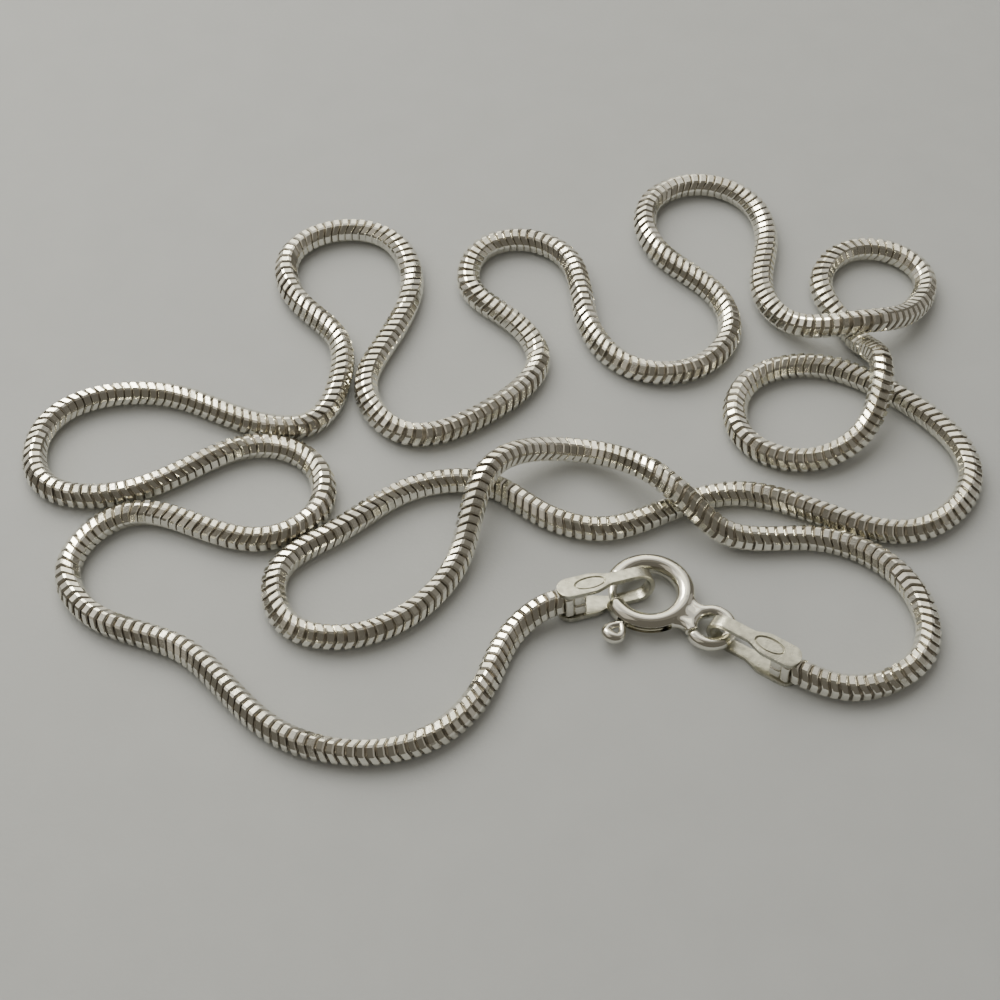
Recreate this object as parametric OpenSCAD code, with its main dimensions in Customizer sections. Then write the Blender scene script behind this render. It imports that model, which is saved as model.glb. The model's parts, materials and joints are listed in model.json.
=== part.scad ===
// Snake chain necklace, fastened and lying on a flat surface, in millimetres.
// The surface is z = 0 and the origin is under the middle of what it covers.
// The chain runs from the left end cap, round all its bends and crossings, to the right end cap.

/* [Chain] */
// Width of the chain across its flats
chain_d = 1.65; // [1.2:0.05:1.75]
// Clear height between two strands where one lies over the other
cross_gap = 0.3; // [0.2:0.05:0.6]

/* [End caps] */
// Length of a folded cap from its round end to its fold
cap_length = 6.5; // [5.5:0.1:7]
// Length of chain that lies between the two leaves
cap_grip = 2.15; // [1.6:0.05:2.6]
// Thickness of a leaf
cap_leaf = 0.3; // [0.25:0.05:0.4]
// Clearance between the chain and each leaf
cap_gap = 0.06; // [0.05:0.01:0.2]
// Width of the round end
cap_width = 1.65; // [1.4:0.05:2]
// Distance from the round end to where the cap starts to narrow
cap_shoulder = 2.6; // [2.2:0.05:2.8]
// Distance from the round end to where it has become the narrow strip
cap_waist = 3.5; // [3.2:0.05:3.8]
// Width of the narrow strip that carries the fold
cap_fold_width = 0.88; // [0.75:0.01:1.1]
// Distance from the round end to the middle of the pressed oval on the upper leaf
stamp_place = 2.2; // [1.8:0.05:2.4]
// Length of the pressed oval
stamp_length = 2; // [1.4:0.1:2.2]
// Width of the pressed oval
stamp_width = 0.95; // [0.6:0.05:1.05]
// Depth of the pressed oval
stamp_depth = 0.08; // [0.04:0.01:0.12]
// Angle that the left cap has rolled back about the chain in it
left_lean = 9; // [0:1:12]

/* [Clasp ring] */
// Outside diameter of the ring
ring_od = 6; // [5.6:0.1:6.4]
// Diameter of the tube that the ring is bent from
tube_d = 1.2; // [1.1:0.02:1.3]
// Height of the ring over the lower leaves that it rests on
rest_gap = 0.05; // [0.02:0.01:0.15]
// Outside diameter of the eyelet that holds the right end cap
eyelet_od = 3.4; // [3.2:0.1:3.8]
// Wire diameter of the eyelet
eyelet_wire = 0.8; // [0.7:0.02:0.9]
// Width of the saw cut where the eyelet can be bent open
eyelet_cut = 0.18; // [0.1:0.02:0.3]
// Stand-off between the ring and the eyelet, bridged by the neck
neck_stand = 0.05; // [0:0.05:0.4]
// Thickness of the neck's web
neck_thick = 0.7; // [0.5:0.05:0.75]
// Radius of the two hollows that run from the ring to the eyelet
neck_hollow = 0.5; // [0.35:0.05:0.7]

/* [Bolt and trigger] */
// Diameter of the bolt that closes the mouth of the ring
bolt_d = 0.6; // [0.5:0.02:0.66]
// Running clearance round the bolt and the trigger's post
bolt_play = 0.06; // [0.03:0.01:0.08]
// Angle that the bolt slides round the ring when it is pulled open
open_angle = 56; // [40:1:58]
// Diameter of the trigger's post
post_d = 0.44; // [0.36:0.02:0.48]
// Outside diameter of the trigger's looped knob
knob_od = 1.5; // [1.2:0.05:1.6]
// Wire diameter of the knob
knob_wire = 0.5; // [0.4:0.02:0.55]
// Clearance between the knob and the ring
knob_gap = 0.1; // [0.05:0.01:0.2]
// How much narrower than the bolt its rounded tip is
tip_step = 0.06; // [0.02:0.01:0.12]

/* [Fastening] */
// Distance along the right cap from the inside of its fold back to the eyelet's wire
eyelet_slack = 1.12; // [0.6:0.01:1.4]
// Direction of the ring's centre as seen from the eyelet, in degrees from +X
neck_bearing = 144.6; // [140:0.2:150]

/* [Hidden] */
$fn = 48;

// Chain: lifts of its axis above where it lies on the surface
over = chain_d + cross_gap;
in_cap = cap_leaf + cap_gap;
cap_height = chain_d + 2 * in_cap;
in_left_cap = cap_height / 2 * cos(left_lean) + cap_width / 2 * sin(left_lean) - chain_d / 2;

// Route of the chain's axis: x, y and lift, from the left end cap to the right one.
// At four places, lifted by over, it crosses itself.
ROUTE = [
  [5.7, -14.35, in_left_cap], [3.1, -15.1, in_left_cap], [0.7, -17.0, 0], [-1.2, -21.3, 0],
  [-4.6, -25.0, 0], [-14.1, -24.4, 0], [-20.7, -18.1, 0], [-26.5, -15.5, 0], [-28.5, -12.0, 0],
  [-25.1, -7.3, 0], [-15.5, -9.3, 0], [-12.1, -6.3, 0], [-13.2, -2.6, 0], [-16.2, -1.3, 0],
  [-24.8, -5.2, 0], [-31.2, -4.4, 0], [-31.5, 0.5, 0], [-23.2, 3.3, 0], [-17.8, 1.0, 0],
  [-13.3, 0.7, 0], [-11.4, 4.7, 0], [-11.7, 8.6, 0], [-15.0, 12.8, 0], [-15.5, 17.1, 0],
  [-12.4, 19.5, 0], [-8.5, 18.8, 0], [-6.6, 15.1, 0], [-8.3, 8.2, 0], [-9.5, 3.7, 0],
  [-6.8, -0.1, 0], [-1.3, 1.5, 0], [2.6, 7.0, 0], [0.7, 10.5, 0], [-2.3, 13.9, 0],
  [-1.4, 17.6, 0], [1.8, 18.6, 0], [4.7, 16.9, 0], [6.2, 10.3, 0], [9.3, 5.9, 0],
  [13.6, 5.8, 0], [16.4, 9.6, 0], [15.1, 13.7, 0], [11.6, 17.5, 0], [11.1, 22.2, 0],
  [14.4, 24.5, 0], [18.2, 23.2, 0], [19.7, 18.9, 0], [19.0, 13.7, 0], [20.6, 9.9, 0.5],
  [25.4, 8.5, over], [29.9, 11.4, 0.4], [30.9, 14.8, 0], [29.0, 17.2, 0],
  [25.4, 17.3, 0], [23.4, 14.6, 0], [25.6, 8.4, 0], [26.5, 4.4, over],
  [24.7, -0.7, 0.5], [20.1, -2.6, 0], [16.6, -0.3, 0], [17.1, 4.1, 0], [21.6, 6.1, 0],
  [26.6, 4.1, 0], [31.8, -4.5, 0], [28.1, -8.5, 0], [16.2, -5.5, 0],
  [11.5, -6.7, 0], [6.8, -8.5, 0], [2.5, -7.1, 0], [-0.7, -4.8, 0],
  [-6.3, -5.2, 0], [-11.2, -8.9, 0], [-14.7, -12.1, 0], [-13.9, -16.1, 0], [-10.9, -17.3, 0],
  [-2.9, -11.4, 0.3], [-0.7, -4.8, over], [4.8, -2.0, 0.4],
  [11.8, -6.9, over], [15.0, -9.2, 0.4], [21.3, -9.4, 0], [27.0, -13.9, 0],
  [27.0, -18.5, 0], [22.4, -21.2, 0], [18.8, -20.2, in_cap], [17.0, -19.0, in_cap],
];
// The ring at which the chain's two nodes meet, on its straight stretch in the middle
half = 37;
last = len(ROUTE) - 1;

// Chain cross-section: eight sides, a flat one underneath
chain_sides = 8;
chain_corner_r = chain_d / 2 / cos(180 / chain_sides);

// End caps: heights and reaches along the cap from the chain's end
cap_reach = cap_length - cap_grip;
fold_inside = cap_reach - cap_leaf;
left_heading = heading(ROUTE[1], ROUTE[0]);
right_heading = heading(ROUTE[last - 1], ROUTE[last]);
edge_overrun = 1;

// Clasp ring: its eyelet hangs in the right cap's loop, and its mouth straddles the left cap
ring_r = (ring_od - tube_d) / 2;
ring_z = cap_leaf + rest_gap + tube_d / 2;
eyelet_r = (eyelet_od - eyelet_wire) / 2;
eyelet_reach = ring_od / 2 + neck_stand + eyelet_od / 2;
eyelet_centre = along(ROUTE[last], right_heading, fold_inside - eyelet_slack + eyelet_r);
ring_centre = along(eyelet_centre, neck_bearing, eyelet_reach);
eyelet_angle = neck_bearing - 180;
eyelet_cut_turn = 55;
neck_inset = 0.1;
hook_angle = left_heading + 180 + asin(offset_from_line(ring_centre, ROUTE[0], left_heading) / ring_r);
mouth_from = hook_angle - 28.6;
mouth_to = hook_angle + 18;

// Bolt and trigger, as angles round the ring's axis
bore_d = bolt_d + 2 * bolt_play;
trigger_angle = hook_angle + 52.2;
tip_angle = mouth_from - 3;
tail_angle = trigger_angle + 7;
spring_room = 9;
socket_angle = tip_angle - 10;
bore_end = tail_angle + open_angle + spring_room;
slot_width = post_d + 2 * bolt_play;
slot_margin = asin((slot_width / 2) / ring_r) + 1;
slot_from = trigger_angle - slot_margin;
slot_to = trigger_angle + open_angle + slot_margin;
knob_r = (knob_od - knob_wire) / 2;
knob_reach = ring_od / 2 + knob_gap + knob_od / 2;

function unit(v) = v / norm(v);
function heading(from, to) = atan2(to.y - from.y, to.x - from.x);
function along(p, angle, distance) = [p.x + distance * cos(angle), p.y + distance * sin(angle)];
function offset_from_line(p, start, angle) = (p.y - start.y) * cos(angle) - (p.x - start.x) * sin(angle);

// A point of the chain's axis, with its real height
function axis_point(i) = [ROUTE[i].x, ROUTE[i].y, ROUTE[i].z + chain_d / 2];

// Direction of the chain at a route point, mostly that of the shorter neighbouring stretch
function chain_direction(i) =
  i == 0 ? unit(axis_point(1) - axis_point(0))
  : i == last ? unit(axis_point(last) - axis_point(last - 1))
  : let (back = axis_point(i) - axis_point(i - 1),
         ahead = axis_point(i + 1) - axis_point(i))
    unit(unit(back) * norm(ahead) + unit(ahead) * norm(back));

// Roll of the chain at a route point: in the left cap it lies as the cap does
function chain_roll(i) = i < 2 ? left_lean : 0;

function chain_ring(i) =
  let (t = chain_direction(i),
       side = unit(cross(t, [0, 0, 1])),
       up = cross(side, t))
  [for (k = [0 : chain_sides - 1])
    let (a = (k + 0.5) * 360 / chain_sides - chain_roll(i))
    axis_point(i) + chain_corner_r * (cos(a) * side + sin(a) * up)];

// A stretch of chain as one closed tube with a ring at each route point
module chain_tube(first, end) {
  count = end - first + 1;
  n = chain_sides;
  points = [for (i = [first : end]) each chain_ring(i)];
  start_face = [[for (k = [0 : n - 1]) k]];
  end_face = [[for (k = [n - 1 : -1 : 0]) (count - 1) * n + k]];
  walls = [for (i = [0 : count - 2], k = [0 : n - 1])
    let (a = i * n + k, b = i * n + (k + 1) % n)
    each [[a, a + n, b], [b, a + n, b + n]]];
  polyhedron(points = points, faces = concat(start_face, walls, end_face), convexity = 12);
}

// The chain from the left end cap to the middle
module snake_chain_left() {
  color("silver") chain_tube(0, half);
}

// The chain from the middle to the right end cap
module snake_chain_right() {
  color("silver") chain_tube(half, last);
}

// Side view of a cap: two leaves joined by a half-round fold, inset from the outside
module fold_profile(inset) {
  radius = cap_height / 2 - inset;
  bend_centre = cap_reach - cap_height / 2;
  tail = cap_grip + edge_overrun;
  translate([bend_centre, cap_height / 2]) circle(radius);
  translate([-tail, inset]) square([tail + bend_centre, 2 * radius]);
}

// Top view of a cap: a round end, straight sides, and shoulders that narrow to the fold's strip
module leaf_outline() {
  round_centre = cap_width / 2 - cap_grip;
  shoulder = cap_shoulder - cap_grip;
  waist = cap_waist - cap_grip;
  translate([round_centre, 0]) circle(cap_width / 2);
  polygon([
    [round_centre, -cap_width / 2], [shoulder, -cap_width / 2],
    [waist, -cap_fold_width / 2], [cap_reach + edge_overrun, -cap_fold_width / 2],
    [cap_reach + edge_overrun, cap_fold_width / 2], [waist, cap_fold_width / 2],
    [shoulder, cap_width / 2], [round_centre, cap_width / 2]]);
}

// The pressed oval on the upper leaf
module stamp() {
  bow = stamp_width / 2;
  translate([stamp_place - cap_grip, 0, cap_height - stamp_depth]) {
    for (side = [-1, 1])
      translate([side * (stamp_length / 2 - bow), 0, 0]) cylinder(r = bow, h = edge_overrun);
    translate([bow - stamp_length / 2, -bow, 0])
      cube([stamp_length - stamp_width, stamp_width, edge_overrun]);
  }
}

// A folded cap whose chain end is at its origin and whose fold points along +X
module folded_cap() {
  difference() {
    intersection() {
      rotate([90, 0, 0])
        linear_extrude(cap_width + 2 * edge_overrun, center = true)
          difference() {
            fold_profile(0);
            fold_profile(cap_leaf);
          }
      linear_extrude(cap_height) leaf_outline();
    }
    stamp();
  }
}

// The cap on the chain's left end, whose loop hangs on the bolt
module left_end_cap() {
  color("gainsboro")
    translate(axis_point(0)) rotate([0, 0, left_heading]) rotate([-left_lean, 0, 0])
      translate([0, 0, -cap_height / 2]) folded_cap();
}

// The cap on the chain's right end, whose loop hangs on the eyelet
module right_end_cap() {
  color("gainsboro")
    translate([ROUTE[last].x, ROUTE[last].y, 0]) rotate([0, 0, right_heading]) folded_cap();
}

// A round rod bent to an arc about the ring's axis
module bent_rod(diameter, radius, from, to) {
  rotate([0, 0, from])
    rotate_extrude(angle = to - from, $fn = 96)
      translate([radius, 0]) circle(d = diameter, $fn = 32);
}

module at_ring_centre() {
  translate([ring_centre.x, ring_centre.y, ring_z]) children();
}

// Slot in the outer wall of the tube in which the trigger's post slides
module trigger_slot() {
  rotate([0, 0, slot_from])
    rotate_extrude(angle = slot_to - slot_from, $fn = 96)
      translate([ring_r, -slot_width / 2]) square([tube_d, slot_width]);
}

// The sawn open eyelet, seen from the ring's centre at the end of its neck
module eyelet() {
  half_cut = asin(eyelet_cut / 2 / eyelet_r);
  cut_at = 180 + eyelet_cut_turn;
  rotate([0, 0, eyelet_angle])
    translate([eyelet_reach, 0, 0])
      bent_rod(eyelet_wire, eyelet_r, cut_at + half_cut, cut_at + 360 - half_cut);
}

// The web between ring and eyelet, hollowed on both sides so that it runs into their round edges
module neck() {
  ring_edge = ring_od / 2 + neck_hollow;
  eyelet_edge = eyelet_od / 2 + neck_hollow;
  hollow_x = (pow(ring_edge, 2) - pow(eyelet_edge, 2) + pow(eyelet_reach, 2)) / (2 * eyelet_reach);
  hollow_y = sqrt(pow(ring_edge, 2) - pow(hollow_x, 2));
  web_from = ring_r + neck_inset;
  web_to = eyelet_reach - eyelet_r;
  web_half = hollow_y - neck_hollow / 2;
  rotate([0, 0, eyelet_angle])
    linear_extrude(neck_thick, center = true)
      difference() {
        translate([web_from, -web_half]) square([web_to - web_from, 2 * web_half]);
        for (side = [-1, 1]) translate([hollow_x, side * hollow_y]) circle(neck_hollow);
      }
}

// The hollow ring with its mouth, socket, slot, neck and eyelet, soldered into one piece
module clasp_ring() {
  color("whitesmoke")
    at_ring_centre() {
      difference() {
        bent_rod(tube_d, ring_r, mouth_to, 360 + mouth_from);
        bent_rod(bore_d, ring_r, mouth_to - 1, bore_end);
        bent_rod(bore_d, ring_r, socket_angle, mouth_from + 1);
        trigger_slot();
      }
      neck();
      eyelet();
    }
}

// The sprung bolt that closes the mouth, with the post and looped knob that pull it back
module clasp_bolt() {
  color("white")
    at_ring_centre() {
      bent_rod(bolt_d, ring_r, tip_angle, tail_angle);
      rotate([0, 0, tip_angle]) translate([ring_r, 0, 0]) sphere(d = bolt_d - tip_step, $fn = 32);
      rotate([0, 0, trigger_angle]) {
        translate([ring_r, 0, 0])
          rotate([0, 90, 0]) cylinder(d = post_d, h = knob_reach - knob_r - ring_r, $fn = 32);
        translate([knob_reach, 0, 0])
          rotate_extrude($fn = 64) translate([knob_r, 0]) circle(d = knob_wire, $fn = 32);
      }
    }
}

snake_chain_left();
snake_chain_right();
left_end_cap();
right_end_cap();
clasp_ring();
clasp_bolt();
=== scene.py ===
import json
import math
import random
from bisect import bisect_right

import bmesh
import bpy
from mathutils import Matrix, Vector


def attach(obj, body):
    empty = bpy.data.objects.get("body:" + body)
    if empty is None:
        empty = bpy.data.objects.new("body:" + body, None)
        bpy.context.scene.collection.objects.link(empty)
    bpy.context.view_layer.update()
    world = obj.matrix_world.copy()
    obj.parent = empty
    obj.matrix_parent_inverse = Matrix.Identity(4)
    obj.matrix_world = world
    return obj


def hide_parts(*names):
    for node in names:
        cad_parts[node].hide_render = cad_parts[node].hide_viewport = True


bl_info = {
    "name": "Snake chain necklace",
    "version": (1, 0, 0),
    "blender": (4, 5, 0),
    "location": "3D View > Sidebar > Necklace",
    "description": "Plates, end caps, bolt ring and studio for the packed necklace",
    "category": "Add Mesh",
}

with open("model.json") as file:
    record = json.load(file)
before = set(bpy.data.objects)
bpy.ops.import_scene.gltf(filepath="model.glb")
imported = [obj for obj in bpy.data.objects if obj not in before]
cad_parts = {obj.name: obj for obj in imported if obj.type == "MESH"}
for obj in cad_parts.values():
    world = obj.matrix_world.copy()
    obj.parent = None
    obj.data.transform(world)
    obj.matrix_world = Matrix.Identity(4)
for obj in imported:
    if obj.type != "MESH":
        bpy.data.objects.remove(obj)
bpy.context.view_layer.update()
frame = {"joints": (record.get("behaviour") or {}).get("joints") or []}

# The pieces are shaped in millimetres and scaled to metres as they are placed
MM = 0.001
TO_METRES = Matrix.Scale(MM, 4)
BODY, BOLT_BODY = "necklace", "bolt"

# Sides of the chain, and the turn from one of its corners to the middle of the next flat
FACETS = 8
HALF_FACET = math.pi / FACETS

# Route of the chain's axis as it lies: x, y and lift in metres, from the left end cap to the right one
OVER, IN_CAP, IN_LEFT_CAP = 0.00195, 0.00036, 0.0004745
ROUTE = (
    (0.0057, -0.01435, IN_LEFT_CAP), (0.0031, -0.0151, IN_LEFT_CAP), (0.0007, -0.0170, 0),
    (-0.0012, -0.0213, 0), (-0.0046, -0.0250, 0), (-0.0141, -0.0244, 0), (-0.0207, -0.0181, 0),
    (-0.0265, -0.0155, 0), (-0.0285, -0.0120, 0), (-0.0251, -0.0073, 0), (-0.0155, -0.0093, 0),
    (-0.0121, -0.0063, 0), (-0.0132, -0.0026, 0), (-0.0162, -0.0013, 0), (-0.0248, -0.0052, 0),
    (-0.0312, -0.0044, 0), (-0.0315, 0.0005, 0), (-0.0232, 0.0033, 0), (-0.0178, 0.0010, 0),
    (-0.0133, 0.0007, 0), (-0.0114, 0.0047, 0), (-0.0117, 0.0086, 0), (-0.0150, 0.0128, 0),
    (-0.0155, 0.0171, 0), (-0.0124, 0.0195, 0), (-0.0085, 0.0188, 0), (-0.0066, 0.0151, 0),
    (-0.0083, 0.0082, 0), (-0.0095, 0.0037, 0), (-0.0068, -0.0001, 0), (-0.0013, 0.0015, 0),
    (0.0026, 0.0070, 0), (0.0007, 0.0105, 0), (-0.0023, 0.0139, 0), (-0.0014, 0.0176, 0),
    (0.0018, 0.0186, 0), (0.0047, 0.0169, 0), (0.0062, 0.0103, 0), (0.0093, 0.0059, 0),
    (0.0136, 0.0058, 0), (0.0164, 0.0096, 0), (0.0151, 0.0137, 0), (0.0116, 0.0175, 0),
    (0.0111, 0.0222, 0), (0.0144, 0.0245, 0), (0.0182, 0.0232, 0), (0.0197, 0.0189, 0),
    (0.0190, 0.0137, 0), (0.0206, 0.0099, 0.0005), (0.0254, 0.0085, OVER), (0.0299, 0.0114, 0.0004),
    (0.0309, 0.0148, 0), (0.0290, 0.0172, 0), (0.0254, 0.0173, 0), (0.0234, 0.0146, 0),
    (0.0256, 0.0084, 0), (0.0265, 0.0044, OVER), (0.0247, -0.0007, 0.0005), (0.0201, -0.0026, 0),
    (0.0166, -0.0003, 0), (0.0171, 0.0041, 0), (0.0216, 0.0061, 0), (0.0266, 0.0041, 0),
    (0.0318, -0.0045, 0), (0.0281, -0.0085, 0), (0.0162, -0.0055, 0), (0.0115, -0.0067, 0),
    (0.0068, -0.0085, 0), (0.0025, -0.0071, 0), (-0.0007, -0.0048, 0), (-0.0063, -0.0052, 0),
    (-0.0112, -0.0089, 0), (-0.0147, -0.0121, 0), (-0.0139, -0.0161, 0), (-0.0109, -0.0173, 0),
    (-0.0029, -0.0114, 0.0003), (-0.0007, -0.0048, OVER), (0.0048, -0.0020, 0.0004),
    (0.0118, -0.0069, OVER), (0.0150, -0.0092, 0.0004), (0.0213, -0.0094, 0), (0.0270, -0.0139, 0),
    (0.0270, -0.0185, 0), (0.0224, -0.0212, 0), (0.0188, -0.0202, IN_CAP), (0.0170, -0.0190, IN_CAP),
)
# The route point, counted from 0, at which the chain's two nodes meet
HALF = 37
# Turn of the chain about its own axis, in degrees, at lengths along the route in metres
TWIST = (
    (0.000, 10), (0.008, 15), (0.012, 45), (0.018, 60), (0.027, 90), (0.034, 95), (0.042, 70),
    (0.047, 40), (0.057, 85), (0.064, 85), (0.072, 130), (0.080, 100), (0.087, 85), (0.097, 130),
    (0.108, 140), (0.116, 150), (0.127, 120), (0.134, 80), (0.143, 85), (0.152, 130), (0.163, 120),
    (0.172, 105), (0.178, 155), (0.187, 190), (0.197, 190), (0.204, 145), (0.212, 110), (0.222, 125),
    (0.236, 100), (0.250, 120), (0.268, 130), (0.282, 120), (0.290, 65), (0.305, 65), (0.330, 55),
    (0.343, 60), (0.352, 90), (0.372, 100), (0.382, 140), (0.390, 130), (0.400, 115), (0.418, 130),
    (0.430, 165), (0.440, 195), (0.447, 235), (0.455, 270), (0.465, 270),
)


def length_size(name, description, default):
    """A length that can be set, in metres"""
    return bpy.props.FloatProperty(name=name, description=description, default=default,
                                   unit="LENGTH", precision=5)


def angle_size(name, description, degrees):
    """An angle that can be set, given here in degrees"""
    return bpy.props.FloatProperty(name=name, description=description,
                                   default=math.radians(degrees), subtype="ANGLE")


def tint(name, description, default):
    """A colour that can be set"""
    return bpy.props.FloatVectorProperty(name=name, description=description, default=default,
                                         subtype="COLOR", size=3, min=0.0, max=1.0)


class NecklaceChain(bpy.types.PropertyGroup):
    """Sizes of the chain and its plates"""
    across: length_size("Across flats", "Width of the chain across its flats", 0.00165)
    pitch: length_size("Pitch", "Distance from one plate to the next", 0.00061)
    band: length_size("Band", "Width of a plate's outer wall along the chain", 0.00048)
    wave: length_size("Wave", "How far a plate's saddle rises and falls at its rim", 0.00025)
    corner: length_size("Corner", "Rounding of the corner between two facets", 0.00009)
    rim: length_size("Rim", "Rounding of a plate's rims", 0.00007)
    core: length_size("Core", "Radius of the plates' inner folds, seen in the gaps", 0.00073)
    wobble: angle_size("Wobble", "Most that a plate leans away from square", 1.6)
    collar: length_size("Collar", "From the chain's end back to the last plate", 0.00177)


class NecklaceCaps(bpy.types.PropertyGroup):
    """Sizes of the two end caps"""
    reach: length_size("Reach", "From the chain's end to the outside of the fold", 0.00435)
    grip: length_size("Grip", "Length of chain between the two leaves", 0.00215)
    height: length_size("Height", "Height over both leaves", 0.00237)
    leaf: length_size("Leaf", "Thickness of a leaf", 0.0003)
    width: length_size("Width", "Width of the round end", 0.00165)
    strip: length_size("Strip", "Width of the strip at the fold", 0.00088)
    rounding: length_size("Rounding", "Rounding of a leaf's edges", 0.00008)
    stamp_length: length_size("Stamp length", "Length of the pressed oval", 0.0020)
    stamp_width: length_size("Stamp width", "Width of the pressed oval", 0.00095)
    stamp_place: length_size("Stamp place", "From the round end to the oval's middle", 0.0022)
    lean: angle_size("Lean", "How far the left cap has rolled back about the chain", 9.0)


class NecklaceClasp(bpy.types.PropertyGroup):
    """Sizes of the bolt ring, and the angles round its centre"""
    ring: length_size("Ring", "Radius of the circle that the tube's axis follows", 0.0024)
    tube: length_size("Tube", "Diameter of the ring's tube", 0.0012)
    bore: length_size("Bore", "Diameter of the tube's bore", 0.00072)
    eyelet: length_size("Eyelet", "Radius of the circle that the eyelet's wire follows", 0.0013)
    eyelet_wire: length_size("Eyelet wire", "Diameter of the eyelet's wire", 0.0008)
    eyelet_reach: length_size("Eyelet reach", "From the ring's centre to the eyelet's", 0.00475)
    bolt: length_size("Bolt", "Diameter of the bolt", 0.0006)
    slot: length_size("Slot", "Width of the trigger's slot", 0.00056)
    eyelet_turn: angle_size("Eyelet direction", "Where the eyelet lies from the ring's centre", -35.4)
    mouth_from: angle_size("Mouth, socket side", "Where the tube ends at the bolt's tip", 151.7)
    mouth_to: angle_size("Mouth, bolt side", "Where the tube begins at the bolt's root", 198.3)
    tip: angle_size("Bolt tip", "Where the bolt's rod ends in the socket", 148.7)
    tail: angle_size("Bolt tail", "Where the bolt's rod ends in the tube", 239.5)
    trigger: angle_size("Trigger", "Where the trigger's post leaves the tube", 232.5)
    slot_from: angle_size("Slot start", "Where the slot begins", 224.8)
    slot_to: angle_size("Slot end", "Where the slot ends", 296.2)
    bore_end: angle_size("Bore end", "Where the bore ends in the tube", 304.5)


class NecklaceLook(bpy.types.PropertyGroup):
    """Colours of the metal, the painted shade between the plates, the surface and the room"""
    silver: tint("Silver", "Colour of the plates and the ring", (0.89, 0.87, 0.78))
    pale_silver: tint("Pale silver", "Colour of the end caps", (0.63, 0.62, 0.53))
    # Painted shade: the colour given to the faces deep between the plates, standing for the shade that
    # falls there
    shade: tint("Shade", "Colour deep between the plates", (0.60, 0.55, 0.46))
    ground: tint("Ground", "Colour of the surface", (0.466, 0.472, 0.452))
    room: tint("Room", "Colour of the dim room round the necklace", (0.130, 0.120, 0.102))


# Shaping

# Steps in which the end of a bent rod is rounded
ROUND_STEPS = 5
# Faces and edges thinner than this, in millimetres, are closed before a mesh is cut
SLIVER = 0.0001


def mm(metres):
    """A setting's length in millimetres"""
    return metres * 1000.0


def smooth_step(low, high, value):
    """Rises smoothly from 0 at the low value to 1 at the high one"""
    share = min(1.0, max(0.0, (value - low) / (high - low)))
    return share * share * (3.0 - 2.0 * share)


def verts_of(made):
    """The vertices among the geometry that an operator has made"""
    return [part for part in made["geom"] if isinstance(part, bmesh.types.BMVert)]


def edges_of(made):
    """The edges among the geometry that an operator has made"""
    return [part for part in made["geom"] if isinstance(part, bmesh.types.BMEdge)]


def edges_between(verts, edges):
    """Those of the edges that have both ends among the vertices"""
    ends = set(verts)
    return [edge for edge in edges if edge.verts[0] in ends and edge.verts[1] in ends]


def close_loop(bm, edges):
    """Closes an open end with one face"""
    bmesh.ops.contextual_create(bm, geom=edges)


def round_edges(bm, edges, width, steps, clamp=False):
    """Rounds edges by a width, in a number of steps"""
    bmesh.ops.bevel(bm, geom=edges, offset=width, offset_type="OFFSET", segments=steps,
                    profile=0.5, affect="EDGES", clamp_overlap=clamp, material=-1)


def close_slivers(bm):
    """Closes what is too thin to see, so that a cut comes out the same each time"""
    bmesh.ops.remove_doubles(bm, verts=bm.verts[:], dist=SLIVER)
    bmesh.ops.dissolve_degenerate(bm, edges=bm.edges[:], dist=SLIVER)


def sweep(bm, stations, sides, closed=False):
    """Carries a unit circle from station to station, as the wall of a tube"""
    ring = bmesh.ops.create_circle(bm, segments=sides, radius=1.0, matrix=stations[0])["verts"]
    first = edges_between(ring, bm.edges)
    edges = first
    for before, after in zip(stations, stations[1:]):
        made = bmesh.ops.extrude_edge_only(bm, edges=edges)
        ring = verts_of(made)
        edges = edges_between(ring, edges_of(made))
        bmesh.ops.transform(bm, matrix=after @ before.inverted(), verts=ring)
    if closed:
        bmesh.ops.bridge_loops(bm, edges=first + edges)
    else:
        close_loop(bm, first)
        close_loop(bm, edges)


def along_x(x, wide, high):
    """A tube section at a distance along X, facing along X"""
    return (Matrix.Translation((x, 0, 0)) @ Matrix.Rotation(math.pi / 2, 4, "Y")
            @ Matrix.Diagonal((wide, high, 1, 1)))


def along_path(spot, ahead):
    """A frame on a level path: X to the path's right, Y up, Z ahead"""
    right = Vector((ahead.y, -ahead.x, 0))
    axes = Matrix((right, Vector((0, 0, 1)), ahead)).transposed().to_4x4()
    return Matrix.Translation(spot) @ axes


def arc_station(radius, angle, wide, high=None):
    """A tube section at an angle round the Z axis, facing along the arc"""
    turn = Matrix.Rotation(angle, 4, "Z") @ Matrix.Translation((radius, 0, 0))
    return turn @ Matrix.Rotation(-math.pi / 2, 4, "X") @ Matrix.Diagonal((wide, high or wide, 1, 1))


def arc_stations(radius, start, end, count, wide, rounded=0.0):
    """Sections along an arc, drawn in at both ends where the ends are rounded"""
    steps = [start + (end - start) * i / count for i in range(count + 1)]
    if not rounded:
        return [arc_station(radius, angle, wide) for angle in steps]
    bend = rounded / radius
    head = []
    for part in range(ROUND_STEPS, -1, -1):
        lean = math.radians(90.0 / ROUND_STEPS * part)
        head.append((start + bend - bend * math.sin(lean), wide - rounded + rounded * math.cos(lean)))
    inner = [(angle, wide) for angle in steps if start + bend < angle < end - bend]
    tail = [(start + end - angle, reach) for angle, reach in reversed(head)]
    return [arc_station(radius, angle, reach) for angle, reach in head + inner + tail]


def finished_mesh(bm, name, place=None, normals=True):
    """Turns a bmesh into a mesh, from millimetres to metres where it has a place"""
    if normals:
        bmesh.ops.recalc_face_normals(bm, faces=bm.faces[:])
    if place is not None:
        bm.transform(place @ TO_METRES)
    mesh = bpy.data.meshes.new(name)
    bm.to_mesh(mesh)
    bm.free()
    return mesh


def new_object(name, mesh):
    """An object at the origin, unturned and unscaled"""
    obj = bpy.data.objects.new(name, mesh)
    bpy.context.scene.collection.objects.link(obj)
    return obj


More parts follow.
